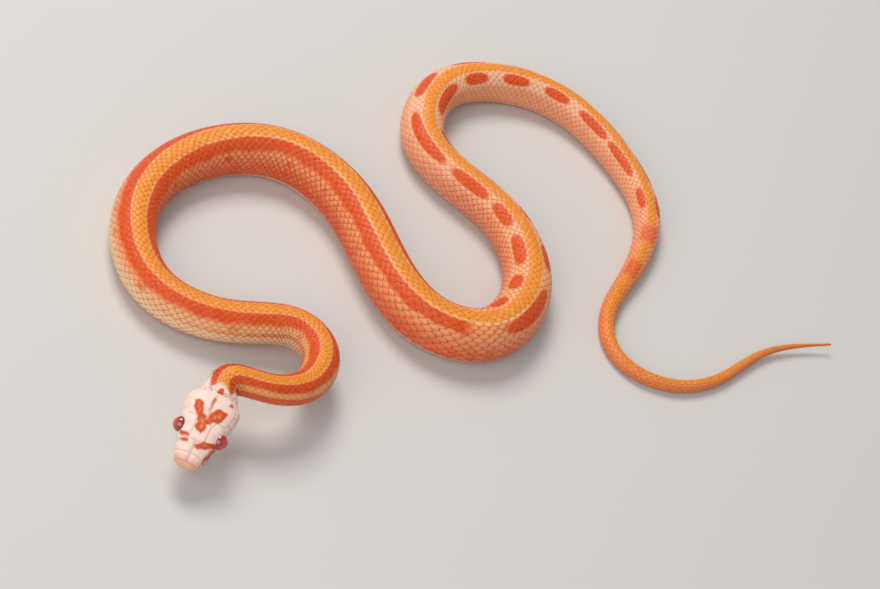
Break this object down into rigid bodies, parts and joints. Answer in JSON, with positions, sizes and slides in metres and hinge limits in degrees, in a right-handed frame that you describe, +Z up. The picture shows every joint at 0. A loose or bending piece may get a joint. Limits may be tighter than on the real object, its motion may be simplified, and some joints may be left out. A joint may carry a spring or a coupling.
{
  "type": "corn snake, young, still model",
  "caption": "Life-size still model of a young orange corn snake lying in loose curves, with its head and neck raised off the floor.",
  "frame": {"origin": "on the floor, under the middle of the space that the whole snake covers", "axes": "+Z up; the head points towards -Y, and the snake's left at the head is +X"},
  "size_m": [0.0932, 0.0941, 0.0089],
  "materials": {
    "head_skin": "satin",
    "body_skin": "satin",
    "eye": "gloss"
  },
  "bodies": {
    "root": {"head": "head_skin", "lower_jaw": "head_skin", "eye_left": "eye", "eye_right": "eye", "neck_front": "body_skin", "neck_rear": "body_skin", "forebody_1": "body_skin", "forebody_2": "body_skin", "midbody_1": "body_skin", "midbody_2": "body_skin", "midbody_3": "body_skin", "hindbody_1": "body_skin", "hindbody_2": "body_skin", "hindbody_3": "body_skin", "tail_base": "body_skin", "tail_middle": "body_skin", "tail_tip": "body_skin"}
  },
  "joints": []
}
